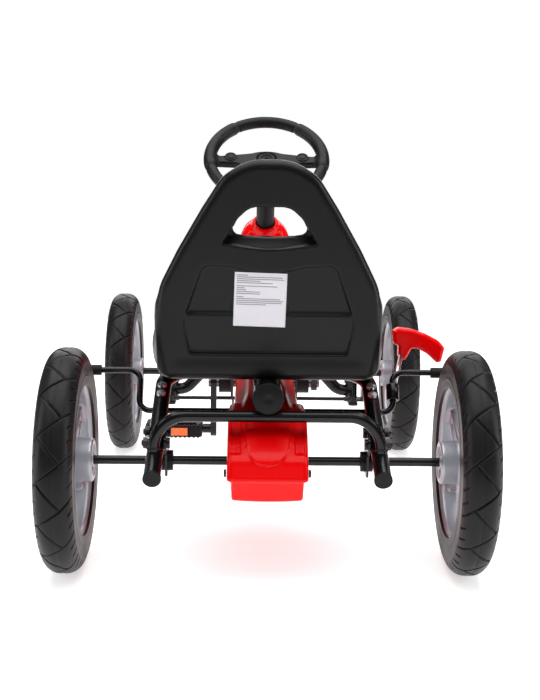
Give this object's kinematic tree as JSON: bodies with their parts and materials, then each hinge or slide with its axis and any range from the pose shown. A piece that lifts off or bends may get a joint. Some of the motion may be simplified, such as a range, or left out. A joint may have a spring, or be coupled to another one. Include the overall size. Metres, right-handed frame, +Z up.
{
  "type": "pedal go kart",
  "caption": "Child's pedal go kart: moulded bucket seat on a black tube frame, chain drive to a live rear axle, steered front wheels and a hand brake on the rear tyres.",
  "frame": {"origin": "on the ground, midway between the axles and between the wheels", "axes": "+Z up, +Y forward in the driving direction, +X to the driver's right"},
  "size_m": [0.596, 1.05, 0.6252],
  "materials": {
    "frame_paint": "gloss black powder coat",
    "black_plastic": "moulded, fine grain",
    "bright_steel": "zinc plated",
    "chain_steel": "oiled steel",
    "red_plastic": "high gloss moulded",
    "tyre_rubber": "matt rubber with a diagonal road tread",
    "sleeve_rubber": "matt",
    "rim_plastic": "silver-grey moulded",
    "reflector": "prismatic reflector",
    "wheel_plastic": "satin moulded",
    "seat_plastic": "satin moulded"
  },
  "bodies": {
    "frame": {"main_beam": "frame_paint", "beam_caps": "black_plastic", "left_rail": "frame_paint", "right_rail": "frame_paint", "rail_caps": "black_plastic", "rear_bumper": "frame_paint", "axle_hangers": "frame_paint", "axle_bearings": "black_plastic", "hanger_bolts": "frame_paint", "brake_brackets": "frame_paint", "bracket_bolts": "bright_steel", "chain_cover_left": "red_plastic", "chain_cover_right": "red_plastic", "cover_screws": "frame_paint", "chain": "chain_steel", "crank_bracket": "frame_paint", "crank_bearings": "black_plastic", "steering_head": "frame_paint", "front_beam": "frame_paint", "front_struts": "frame_paint", "kingpins": "bright_steel", "nose_fairing": "red_plastic", "nose_collar": "black_plastic"},
    "rear_axle": {"rear_axle": "frame_paint", "rear_sprocket": "chain_steel", "rear_axle_nuts": "bright_steel", "rear_tyre_left": "tyre_rubber", "rear_tyre_right": "tyre_rubber", "rear_rim_left": "rim_plastic", "rear_rim_right": "rim_plastic"},
    "crank": {"crank_spindle": "chain_steel", "chainring": "chain_steel", "crank_arm_left": "frame_paint", "crank_arm_right": "frame_paint", "pedal_pins": "frame_paint"},
    "pedal_left": {"pedal_left": "black_plastic", "pedal_reflectors_left": "reflector"},
    "pedal_right": {"pedal_right": "black_plastic", "pedal_reflectors_right": "reflector"},
    "knuckle_left": {"knuckle_left": "frame_paint", "stub_axle_left": "frame_paint"},
    "knuckle_right": {"knuckle_right": "frame_paint", "stub_axle_right": "frame_paint"},
    "front_wheel_left": {"front_tyre_left": "tyre_rubber", "front_rim_left": "rim_plastic"},
    "front_wheel_right": {"front_tyre_right": "tyre_rubber", "front_rim_right": "rim_plastic"},
    "steering": {"steering_column": "black_plastic", "steering_arm": "frame_paint", "steering_wheel": "wheel_plastic", "steering_wheel_cap": "wheel_plastic"},
    "tie_rod": {"tie_rod": "frame_paint"},
    "seat": {"seat_shell": "seat_plastic", "seat_sleeve": "frame_paint", "seat_bolts": "bright_steel"},
    "seat_knob": {"seat_knob": "black_plastic"},
    "hand_brake": {"brake_bar": "frame_paint", "brake_sleeves": "sleeve_rubber", "brake_lever": "bright_steel", "brake_handle": "red_plastic"}
  },
  "joints": [
    {"name": "rear_axle_spin", "type": "hinge", "parent": "frame", "child": "rear_axle", "pos_m": [0, -0.375, 0.15], "axis": [1, 0, 0], "continuous": true},
    {"name": "crank_spin", "type": "hinge", "parent": "frame", "child": "crank", "pos_m": [0, 0.075, 0.18], "axis": [1, 0, 0], "continuous": true},
    {"name": "pedal_left_spin", "type": "hinge", "parent": "crank", "child": "pedal_left", "pos_m": [-0.15, 0.075, 0.1], "axis": [1, 0, 0], "continuous": true},
    {"name": "pedal_right_spin", "type": "hinge", "parent": "crank", "child": "pedal_right", "pos_m": [0.15, 0.075, 0.26], "axis": [1, 0, 0], "continuous": true},
    {"name": "steering_turn", "type": "hinge", "parent": "frame", "child": "steering", "pos_m": [0, 0.025, 0.555], "axis": [0, -0.6691, 0.7431], "range_deg": [-30, 30]},
    {"name": "knuckle_left_turn", "type": "hinge", "parent": "frame", "child": "knuckle_left", "pos_m": [-0.174, 0.375, 0.115], "axis": [0, 0, 1], "range_deg": [-30, 30]},
    {"name": "knuckle_right_turn", "type": "hinge", "parent": "frame", "child": "knuckle_right", "pos_m": [0.174, 0.375, 0.115], "axis": [0, 0, 1], "range_deg": [-30, 30]},
    {"name": "tie_rod_swing", "type": "hinge", "parent": "knuckle_left", "child": "tie_rod", "pos_m": [-0.174, 0.325, 0.107], "axis": [0, 0, 1], "range_deg": [-30, 30]},
    {"name": "front_left_spin", "type": "hinge", "parent": "knuckle_left", "child": "front_wheel_left", "pos_m": [-0.266, 0.375, 0.15], "axis": [1, 0, 0], "continuous": true},
    {"name": "front_right_spin", "type": "hinge", "parent": "knuckle_right", "child": "front_wheel_right", "pos_m": [0.266, 0.375, 0.15], "axis": [1, 0, 0], "continuous": true},
    {"name": "seat_slide", "type": "slide", "parent": "frame", "child": "seat", "axis": [0, 1, 0], "range_m": [0, 0.08]},
    {"name": "seat_knob_turn", "type": "hinge", "parent": "seat", "child": "seat_knob", "pos_m": [0.03, -0.141, 0.248], "axis": [1, 0, 0], "continuous": true},
    {"name": "hand_brake_pull", "type": "hinge", "parent": "frame", "child": "hand_brake", "pos_m": [0, -0.275, 0.198], "axis": [1, 0, 0], "range_deg": [0, 12]}
  ],
  "couplings": [
    {"joint": "crank_spin", "follows": "rear_axle_spin", "ratio": 0.72222},
    {"joint": "knuckle_left_turn", "follows": "steering_turn", "ratio": 1},
    {"joint": "knuckle_right_turn", "follows": "steering_turn", "ratio": 1},
    {"joint": "tie_rod_swing", "follows": "steering_turn", "ratio": -1}
  ]
}
